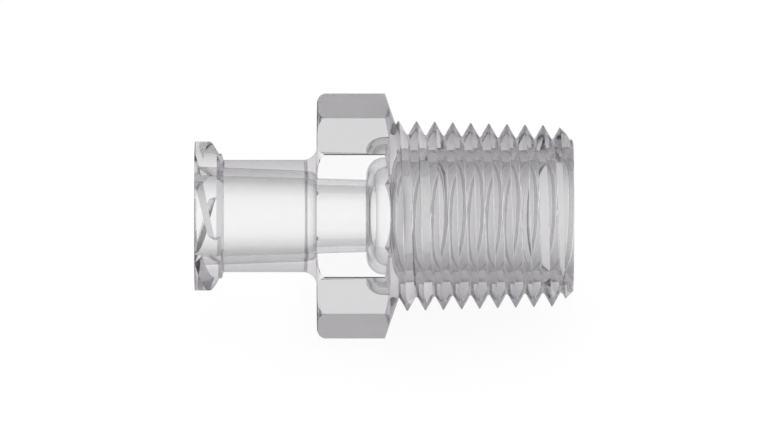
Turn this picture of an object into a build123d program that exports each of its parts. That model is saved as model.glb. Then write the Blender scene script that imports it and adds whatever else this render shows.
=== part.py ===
import os
from math import atan, cos, degrees, pi, radians, sin, tan

from build123d import *

# Female luer adapter, moulded in one piece: a female luer lock connector at one end,
# a hexagon for the spanner in the middle and a male taper pipe thread at the other end.
# Millimetres and degrees. The part is drawn standing on its luer mouth, with Z up its axis
# and a corner of the hexagon on X, and is laid down on a hexagon flat at the end.

# Lengths along the axis, measured from the luer mouth
TOTAL_LENGTH = 19.67
HEX_START = 6.35
HEX_CORNER_END = 9.88  # where a corner of the hexagon meets the chamfer cone
SOCKET_DEPTH = 8.91  # end of the luer taper and floor of the wide bore

# Luer lock flange, with two lugs cut from a two-start right-hand thread
LUG_DIAMETER = 7.76
LUG_LENGTH = 1.17  # luer mouth to the back of a lug at its crest
LUG_LEAD = 5.0
LUG_FLANK_ANGLE = 30.0
LUG_FRONT_FOOT = 0.46  # foot of the front flank from the mouth, 90 degrees round from the corner
LUG_BACK_CREST = 0.74  # crest of the back flank from the mouth, at the corner
LUG_START = -51.0  # first and last angle of a lug, round from the corner
LUG_END = 109.0
RING_DIAMETER = 6.50  # the ring that carries the lugs
RING_LENGTH = 1.40
RING_BACK = 0.10  # slope from the ring down to the barrel

# Luer socket and barrel
MOUTH_DIAMETER = 4.30
LUER_TAPER = 0.06  # diameter lost for each unit of depth
MOUTH_CHAMFER = 0.08
BARREL_DIAMETER = 5.84
BARREL_FILLET = 0.74

# Hexagon
HEX_ACROSS_FLATS = 11.04
HEX_ROUND = 0.50
HEX_CHAMFER_ANGLE = 19.3

# Taper pipe thread
THREAD_PITCH = 25.4 / 27
THREAD_TAPER = 1 / 16  # diameter gained for each unit along the axis
THREAD_END_DIAMETER = 9.36  # over the crests, at the end face
THREAD_DEPTH = 0.70
THREAD_SINK = 0.02  # how far the flanks run on below the root, into the core
THREAD_ANGLE = 60.0
THREAD_CREST = 0.045  # flat on the crest
THREAD_TIMING = 11.525  # height of a crest above the mouth, at the corner
END_CHAMFER = 0.76
END_CHAMFER_ANGLE = 45.0

# Wide bore from the thread end
BORE_DIAMETER = 6.10
BORE_FLOOR_FILLET = 0.95
BORE_CHAMFER = 0.15

OVERCUT = 0.5  # how far a cutting shape reaches past the surface it cuts

hex_corner = HEX_ACROSS_FLATS / 2 / cos(pi / 6)
thread_slope = THREAD_TAPER / 2


def crest_radius(z):
    return THREAD_END_DIAMETER / 2 + (TOTAL_LENGTH - z) * thread_slope


def luer_radius(z):
    return (MOUTH_DIAMETER - LUER_TAPER * z) / 2


def turned(*outline):
    """Solid of revolution from (radius, z) points. A third number rounds that corner."""
    with BuildSketch(Plane.XZ) as face:
        with BuildLine():
            Polyline(*[point[:2] for point in outline], close=True)
        make_face()
        for point in outline:
            if len(point) == 3:
                corner = face.vertices().sort_by_distance((point[0], point[1], 0))[0]
                fillet(corner, point[2])
    return revolve(face.sketch, Axis.Z, 360)


def helical(section, radius, z, angle, lead, height, slope=0.0):
    """Sweeps a section of (outward, upward) points along a right-hand helix about Z."""
    path = Helix(lead, height, radius, cone_angle=-degrees(atan(slope)))
    start = Plane(origin=path @ 0, x_dir=(1, 0, 0), z_dir=(0, -1, 0))
    with BuildSketch(start) as face:
        with BuildLine():
            Polyline(*section, close=True)
        make_face()
    swept = sweep(face.sketch, path, is_frenet=True)
    return Pos(0, 0, z) * Rot(0, 0, angle) * swept


def hexagon():
    """Hexagon with rounded corners at the luer side and a turned chamfer at the thread side."""
    chamfer = tan(radians(HEX_CHAMFER_ANGLE))
    outside = hex_corner + OVERCUT
    top = HEX_CORNER_END + (hex_corner - crest_radius(HEX_CORNER_END) + THREAD_DEPTH) * chamfer
    inner = hex_corner - (top - HEX_CORNER_END) / chamfer
    with BuildSketch(Plane.XY.offset(HEX_START)) as flats:
        RegularPolygon(hex_corner, 6)
    prism = extrude(flats.sketch, top - HEX_START)
    round_edge = hex_corner + 0.01
    crown = turned(
        (0, HEX_START),
        (round_edge, HEX_START, HEX_ROUND),
        (round_edge, HEX_CORNER_END - 0.01 * chamfer),
        (inner, top),
        (0, top),
    )
    return prism & crown


def barrel():
    """Barrel with its ring at the mouth and a fillet where it meets the hexagon."""
    ring, tube = RING_DIAMETER / 2, BARREL_DIAMETER / 2
    return turned(
        (0, 0),
        (ring, 0),
        (ring, RING_LENGTH),
        (tube, RING_LENGTH + RING_BACK),
        (tube, HEX_START, BARREL_FILLET),
        (tube + BARREL_FILLET + OVERCUT, HEX_START),
        (tube + BARREL_FILLET + OVERCUT, HEX_START + OVERCUT),
        (0, HEX_START + OVERCUT),
    )


def lugs():
    """The two lugs: a flange disc from which everything outside the thread form is cut."""
    crest, foot = LUG_DIAMETER / 2, RING_DIAMETER / 2
    rise = crest - foot
    slant = tan(radians(LUG_FLANK_ANGLE))
    disc = turned((0, 0), (crest, 0), (crest, LUG_LENGTH), (foot, RING_LENGTH), (0, RING_LENGTH))
    per_degree = LUG_LEAD / 360
    front = LUG_FRONT_FOOT - 90 * per_degree
    back = LUG_BACK_CREST + rise * slant
    ridge_section = [
        (-OVERCUT, front - OVERCUT * slant),
        (rise + OVERCUT, front + (rise + OVERCUT) * slant),
        (rise + OVERCUT, back - (rise + OVERCUT) * slant),
        (-OVERCUT, back + OVERCUT * slant),
    ]
    reach = LUG_END - LUG_START + 40
    ridge = helical(
        ridge_section, foot, (LUG_START - 20) * per_degree, LUG_START - 20,
        LUG_LEAD, reach * per_degree,
    )
    sector = Rot(0, 0, LUG_START) * turned_sector(crest + OVERCUT, RING_LENGTH, LUG_END - LUG_START)
    lug = disc & ridge & sector
    return lug + Rot(0, 0, 180) * lug


def turned_sector(radius, height, angle):
    """A wedge of a disc that stands on the mouth plane, from X round to the angle."""
    with BuildSketch(Plane.XZ) as face:
        with BuildLine():
            Polyline((0, 0), (radius, 0), (radius, height), (0, height), close=True)
        make_face()
    return revolve(face.sketch, Axis.Z, angle)


def threaded_end():
    """Core cone with one helical ridge, both rooted in the hexagon and trimmed at the end face."""
    start = HEX_CORNER_END - 1.5 * THREAD_PITCH
    slant = tan(radians(THREAD_ANGLE / 2))
    top = THREAD_CREST / 2
    foot_depth = THREAD_DEPTH + THREAD_SINK
    foot = top + foot_depth * slant
    section = [
        (0, top),
        (-foot_depth, foot),
        (-foot_depth - 0.1, foot),
        (-foot_depth - 0.1, -foot),
        (-foot_depth, -foot),
        (0, -top),
    ]
    ridge = helical(
        section, crest_radius(start), start, 360 * (start - THREAD_TIMING) / THREAD_PITCH,
        THREAD_PITCH, TOTAL_LENGTH + THREAD_PITCH - start, thread_slope,
    )
    past_end = TOTAL_LENGTH + 3 * THREAD_PITCH
    core = turned(
        (0, start),
        (crest_radius(start) - THREAD_DEPTH, start),
        (crest_radius(past_end) - THREAD_DEPTH, past_end),
        (0, past_end),
    )
    end = crest_radius(TOTAL_LENGTH) - END_CHAMFER
    slope = tan(radians(END_CHAMFER_ANGLE))
    trim = turned(
        (0, start - THREAD_PITCH),
        (hex_corner, start - THREAD_PITCH),
        (hex_corner, TOTAL_LENGTH - (hex_corner - end) / slope),
        (end, TOTAL_LENGTH),
        (0, TOTAL_LENGTH),
    )
    return (core + ridge) & trim


def passage():
    """The way through: luer taper from the mouth, then the wide bore to the end face."""
    wide = BORE_DIAMETER / 2
    floor = luer_radius(SOCKET_DEPTH)
    return turned(
        (0, -OVERCUT),
        (luer_radius(0) + MOUTH_CHAMFER + OVERCUT, -OVERCUT),
        (luer_radius(0) + MOUTH_CHAMFER, 0),
        (luer_radius(MOUTH_CHAMFER), MOUTH_CHAMFER),
        (floor, SOCKET_DEPTH),
        (wide, SOCKET_DEPTH, BORE_FLOOR_FILLET),
        (wide, TOTAL_LENGTH - BORE_CHAMFER),
        (wide + BORE_CHAMFER + OVERCUT, TOTAL_LENGTH + OVERCUT),
        (0, TOTAL_LENGTH + OVERCUT),
    )


adapter = hexagon() + barrel() + lugs() + threaded_end() - passage()

# Laid down: the axis along X with the luer mouth at the low end, the lowest flat on z = 0,
# and the corner that times the lugs and the thread up and 30 degrees back.
laid_down = Plane(
    origin=(-TOTAL_LENGTH / 2, 0, HEX_ACROSS_FLATS / 2),
    x_dir=(0, sin(pi / 6), cos(pi / 6)),
    z_dir=(1, 0, 0),
)
adapter = laid_down.location * adapter
adapter.label = "adapter_body"

os.makedirs("parts", exist_ok=True)
export_step(adapter, "parts/adapter_body.step")
print("adapter_body", round(adapter.volume, 2), "mm3,", len(adapter.faces()), "faces,",
      len(adapter.solids()), "solid,", adapter.is_valid)
print("box", adapter.bounding_box())
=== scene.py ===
# %% [markdown]
# # A clear luer adapter on a white table
#
# The object is a small moulded fitting of clear plastic, about 20 mm long. A syringe or a line screws
# on at the left, a spanner grips the hexagon in the middle, and the right end screws into a pipe port.
# Its shape comes ready from the CAD frame, so this lesson is about the rest: how to light and shade a
# clear thing so that its walls, bores and threads can be read.
#
# A clear object has hardly any colour of its own. What we see is the room behind it, bent by the
# plastic, and a little darker wherever the light grazes a surface.

# %% Load the frame
import math

import bpy
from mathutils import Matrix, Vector


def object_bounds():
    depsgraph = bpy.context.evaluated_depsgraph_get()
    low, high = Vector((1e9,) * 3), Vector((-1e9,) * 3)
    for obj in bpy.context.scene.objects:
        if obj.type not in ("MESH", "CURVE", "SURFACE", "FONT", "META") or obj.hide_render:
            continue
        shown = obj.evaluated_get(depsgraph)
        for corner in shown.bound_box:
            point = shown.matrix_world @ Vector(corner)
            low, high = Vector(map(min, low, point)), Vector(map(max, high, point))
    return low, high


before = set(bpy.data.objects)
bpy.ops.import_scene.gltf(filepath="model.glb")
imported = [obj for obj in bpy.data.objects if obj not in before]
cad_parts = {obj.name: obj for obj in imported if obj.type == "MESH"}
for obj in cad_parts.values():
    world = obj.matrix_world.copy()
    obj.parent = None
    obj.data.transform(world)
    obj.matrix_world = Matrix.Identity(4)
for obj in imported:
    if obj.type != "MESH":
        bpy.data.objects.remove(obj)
cad_low, cad_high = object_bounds()
print("CAD box in mm:", [round(v * 1000, 2) for v in (*cad_low, *cad_high)])

# %% [markdown]
# ## A long lens
#
# The picture is a square-on side view with almost no perspective. A long lens gives that from far
# away. The adapter lies on one flat of its hexagon, so the flat that faces the lens looks up at 30
# degrees, and the camera stands 30 degrees above the table. The lens is chosen so that the picture is
# 40 mm wide where the adapter lies: focal length is to distance as sensor is to field.

# %% Camera
FIELD_WIDTH = 0.03996
CAMERA_DISTANCE = 0.6
CAMERA_RISE = math.radians(30)
SENSOR_WIDTH = 36
NEAREST, FARTHEST = 0.01, 5

axis_centre = Vector((0, 0, (cad_low.z + cad_high.z) / 2))
to_camera = Vector((0, -math.cos(CAMERA_RISE), math.sin(CAMERA_RISE)))

camera = bpy.data.objects.new("camera", bpy.data.cameras.new("camera"))
bpy.context.scene.collection.objects.link(camera)
camera.data.sensor_width = SENSOR_WIDTH
camera.data.lens = SENSOR_WIDTH * CAMERA_DISTANCE / FIELD_WIDTH
camera.data.clip_start = NEAREST
camera.data.clip_end = FARTHEST
camera.location = axis_centre + to_camera * CAMERA_DISTANCE
camera.rotation_euler = (-to_camera).to_track_quat("-Z", "Y").to_euler()
bpy.context.scene.camera = camera
bpy.context.scene.view_settings.view_transform = "Standard"
print("lens", round(camera.data.lens), "mm")

# %% [markdown]
# ## Small helpers for node trees
#
# Shader trees are built from nodes and the links between them. Two helpers keep that short: one adds a
# node and sets its values, the other fills a colour ramp from a list of (position, colour) stops.


# %% Node helpers
def add_node(tree, kind, **values):
    """Adds a node. A name that matches an input sets or links it, and any other sets a property."""
    node = tree.nodes.new(kind)
    for name, value in values.items():
        socket = node.inputs.get(name.replace("_", " ").title())
        if socket is None:
            setattr(node, name, value)
        elif isinstance(value, bpy.types.NodeSocket):
            tree.links.new(value, socket)
        else:
            socket.default_value = value
    return node


def fill_ramp(ramp, stops):
    """Gives a colour ramp these stops, each a position and a grey level or an RGB colour."""
    elements = ramp.color_ramp.elements
    while len(elements) < len(stops):
        elements.new(1.0)
    for element, (position, colour) in zip(elements, stops):
        element.position = position
        element.color = (*colour, 1) if isinstance(colour, tuple) else (colour, colour, colour, 1)


print("helpers ready")

# %% [markdown]
# ## A bright field in a grey room
#
# Glass on white is drawn by its dark edges. Photographers call this bright-field lighting: a lit panel
# stands straight behind the glass and the room around it is dimmer. Light that passes straight through
# shows the white panel, and the more a surface bends the light, the more of the dim room it shows.
#
# The panel could be a real lamp plane, but the world does it with one number: the angle between a ray
# and the middle of the panel. A dot product gives the cosine of that angle, and a ramp turns it into
# brightness, with no edge that could show as a hard line in the plastic.

# %% The room and its panel
PANEL_TILT = math.radians(3)
PANEL_FALL_OFF = [  # cosine of the angle from the panel's middle, and brightness
    (-1.0, 0.55), (0.0, 0.65), (0.5, 0.83), (0.848, 0.88), (0.958, 0.91), (0.985, 0.985), (0.998, 1.0),
]

panel_rise = CAMERA_RISE + PANEL_TILT
panel_direction = (0, math.cos(panel_rise), -math.sin(panel_rise))

world = bpy.data.worlds.new("bright_field")
bpy.context.scene.world = world
world.use_nodes = True
tree = world.node_tree
tree.nodes.clear()
ray = add_node(tree, "ShaderNodeTexCoord")
cosine = add_node(tree, "ShaderNodeVectorMath", operation="DOT_PRODUCT")
cosine.inputs[1].default_value = panel_direction
tree.links.new(ray.outputs["Generated"], cosine.inputs[0])
position = add_node(tree, "ShaderNodeMath", operation="MULTIPLY_ADD")  # from -1...1 to 0...1
position.inputs[1].default_value = 0.5
position.inputs[2].default_value = 0.5
tree.links.new(cosine.outputs["Value"], position.inputs[0])
fall_off = add_node(tree, "ShaderNodeValToRGB", fac=position.outputs[0])
fill_ramp(fall_off, [((c + 1) / 2, level) for c, level in PANEL_FALL_OFF])
room = add_node(tree, "ShaderNodeBackground", color=fall_off.outputs["Color"])
print("panel tilted", round(math.degrees(panel_rise)), "degrees, room levels", PANEL_FALL_OFF[0][1], "to 1")

# %% [markdown]
# ## White for the eye
#
# The picture has a plain white background. The Light Path node tells what kind of ray asks, so a ray
# that comes straight from the camera, or from a reflection, gets plain white, and a ray that has passed
# through the plastic gets the room with its panel.

# %% White background
plain_white = add_node(tree, "ShaderNodeBackground", color=(1, 1, 1, 1))
path = add_node(tree, "ShaderNodeLightPath")
seen_white = add_node(tree, "ShaderNodeMath", operation="MAXIMUM")
tree.links.new(path.outputs["Is Camera Ray"], seen_white.inputs[0])
tree.links.new(path.outputs["Is Glossy Ray"], seen_white.inputs[1])
either = add_node(tree, "ShaderNodeMixShader")
tree.links.new(seen_white.outputs[0], either.inputs[0])
tree.links.new(room.outputs[0], either.inputs[1])
tree.links.new(plain_white.outputs[0], either.inputs[2])
world_output = add_node(tree, "ShaderNodeOutputWorld")
tree.links.new(either.outputs[0], world_output.inputs["Surface"])
print("world", world.name, "has", len(tree.nodes), "nodes")

# %% [markdown]
# ## The table
#
# The table is one large flat sheet, just under the flat that the adapter lies on.

# %% Table
TABLE_HALF_WIDTH = 1.2
TABLE_GAP = 0.00002

half = TABLE_HALF_WIDTH
table_corners = [(x, y, -TABLE_GAP) for x, y in ((-half, -half), (half, -half), (half, half), (-half, half))]
table_mesh = bpy.data.meshes.new("table")
table_mesh.from_pydata(table_corners, [], [(0, 1, 2, 3)])
table = bpy.data.objects.new("table", table_mesh)
bpy.context.scene.collection.objects.link(table)
print("table", 2 * TABLE_HALF_WIDTH, "m wide")

# %% [markdown]
# ## Lit white acrylic
#
# The sheet is lit white acrylic, as on a light table. Most of its light is its own glow, so it stays
# white in the picture, and a small part is plain diffuse white that takes the soft shadow of the
# adapter. Light that has come through the plastic passes the sheet and meets the panel behind it, which
# is the white that the adapter shows.

# %% Acrylic
TABLE_GLOW = 0.86
TABLE_DIFFUSE = 0.25

acrylic = bpy.data.materials.new("lit_white_acrylic")
acrylic.use_nodes = True
tree = acrylic.node_tree
tree.nodes.clear()
diffuse = add_node(tree, "ShaderNodeBsdfDiffuse", color=(TABLE_DIFFUSE, TABLE_DIFFUSE, TABLE_DIFFUSE, 1))
glow = add_node(tree, "ShaderNodeEmission", strength=TABLE_GLOW)
sheet = add_node(tree, "ShaderNodeAddShader")
tree.links.new(diffuse.outputs[0], sheet.inputs[0])
tree.links.new(glow.outputs[0], sheet.inputs[1])
passed = add_node(tree, "ShaderNodeBsdfTransparent")
path = add_node(tree, "ShaderNodeLightPath")
either = add_node(tree, "ShaderNodeMixShader")
tree.links.new(path.outputs["Is Transmission Ray"], either.inputs[0])
tree.links.new(sheet.outputs[0], either.inputs[1])
tree.links.new(passed.outputs[0], either.inputs[2])
material_output = add_node(tree, "ShaderNodeOutputMaterial")
tree.links.new(either.outputs[0], material_output.inputs["Surface"])
table_mesh.materials.append(acrylic)
print("acrylic glows at", TABLE_GLOW, "and scatters", TABLE_DIFFUSE)

# %% [markdown]
# ## Clear moulded plastic
#
# The index of refraction sets how far the plastic bends light. A real clear plastic has about 1.5. The
# 1.20 here was fitted to the picture instead: in the hexagon, the dark bands along the upper and lower
# corners, where light is trapped and turned away, are only as wide as that index makes them. For
# another picture of such a part, start from 1.5. The plastic lets nearly all light through, and the
# small rest scatters as a faint haze.

# %% Clear body
PLASTIC_INDEX = 1.20
PLASTIC_CLARITY = 0.955

plastic = bpy.data.materials.new("clear_moulded_plastic")
plastic.use_nodes = True
tree = plastic.node_tree
shader = tree.nodes["Principled BSDF"]
shader.inputs["IOR"].default_value = PLASTIC_INDEX
shader.inputs["Transmission Weight"].default_value = PLASTIC_CLARITY
print("plastic index", PLASTIC_INDEX, "clarity", PLASTIC_CLARITY)

# %% [markdown]
# ## Painted shade at glancing angles
#
# In the picture, every edge, bore line and thread flank is drawn in grey, as if each surface dimmed
# the light that meets it at a glancing angle, also where the light bounces inside. That is more than
# clear plastic does by itself. It is a way to match the picture, not a law of the material. A tint of
# the body colour can't do this, because it leaves the bounces inside untouched.
#
# The coat of the Principled shader can. Its index is 1, so it adds no shine, and only its tint acts. A
# ramp over Layer Weight's Facing (0 square-on, 1 edge-on) sets the tint. The light's way through the
# coat is longer at a glancing angle, and the tint deepens with it, so the ramp itself rises again
# towards the edge. The greys were fitted by comparing a render with the picture again and again, and
# they lean slightly to purple because the picture does.

# %% Painted glancing shade
# The greys in this ramp are painted shade: they darken each surface where it is seen at a glancing angle, in
# place of real shading.
EVEN_BLEND = 0.5
PAINTED_SHADE_TINT = [
    (0.0, (0.995, 0.995, 0.995)),
    (0.1, (0.980, 0.980, 0.980)),
    (0.2, (0.926, 0.926, 0.926)),
    (0.31, (0.903, 0.902, 0.903)),
    (0.5, (0.848, 0.844, 0.850)),
    (0.69, (0.897, 0.893, 0.900)),
    (0.8, (0.924, 0.921, 0.927)),
    (0.9, (0.957, 0.954, 0.960)),
    (1.0, (0.995, 0.995, 0.995)),
]

shader.inputs["Coat Weight"].default_value = 1.0
shader.inputs["Coat IOR"].default_value = 1.0
shader.inputs["Coat Roughness"].default_value = 0.0
# Painted shade: Layer Weight's Facing picks a grey from the ramp, and the coat tint lays it on the surface.
facing = add_node(tree, "ShaderNodeLayerWeight", blend=EVEN_BLEND)
painted_shade = add_node(tree, "ShaderNodeValToRGB", fac=facing.outputs["Facing"])
fill_ramp(painted_shade, PAINTED_SHADE_TINT)
tree.links.new(painted_shade.outputs["Color"], shader.inputs["Coat Tint"])
print("skin has", len(PAINTED_SHADE_TINT), "tints from square-on to edge-on")

# %% [markdown]
# ## Flow marks and bloom
#
# A mould leaves the surface less than perfect. The plastic cools as it flows, which leaves slow, faint
# waves, and handling leaves a finer bloom. Both could be painted, but two noises are enough: a slow one
# gives flow marks in the roughness and the surface normal, and a fine one varies the body's tint. The
# picture is too small to show either, so their sizes are guesses and both are kept faint.

# %% Flow marks and bloom
FLOW_SCALE, FLOW_DETAIL = 220, 2.0
FLOW_ROUGHNESS = 0.03
FLOW_STRENGTH, FLOW_HEIGHT = 0.08, 0.00002
BLOOM_SCALE, BLOOM_DETAIL = 2600, 3.0
BLOOM_TINT = [(0.3, (0.986, 0.983, 0.987)), (0.7, (1.0, 0.998, 1.0))]

place = add_node(tree, "ShaderNodeTexCoord").outputs["Object"]
flow = add_node(tree, "ShaderNodeTexNoise", vector=place, scale=FLOW_SCALE, detail=FLOW_DETAIL)
bloom = add_node(tree, "ShaderNodeTexNoise", vector=place, scale=BLOOM_SCALE, detail=BLOOM_DETAIL)

body_tint = add_node(tree, "ShaderNodeValToRGB", fac=bloom.outputs["Fac"])
fill_ramp(body_tint, BLOOM_TINT)
tree.links.new(body_tint.outputs["Color"], shader.inputs["Base Color"])

roughness = add_node(
    tree, "ShaderNodeMapRange", value=flow.outputs["Fac"], to_min=0.0, to_max=FLOW_ROUGHNESS)
tree.links.new(roughness.outputs["Result"], shader.inputs["Roughness"])

ripple = add_node(
    tree, "ShaderNodeBump", strength=FLOW_STRENGTH, distance=FLOW_HEIGHT, height=flow.outputs["Fac"])
tree.links.new(ripple.outputs["Normal"], shader.inputs["Normal"])
print("flow marks every", round(1000 / FLOW_SCALE, 1), "mm, bloom every", round(1000 / BLOOM_SCALE, 1), "mm")

# %% [markdown]
# ## Dress the adapter
#
# The adapter is one piece from one mould, so one material covers all of it.

# %% Dress the adapter
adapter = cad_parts["adapter_body"]
for slot in adapter.material_slots:
    slot.material = plastic
print(adapter.name, len(adapter.data.polygons), "faces in", plastic.name)
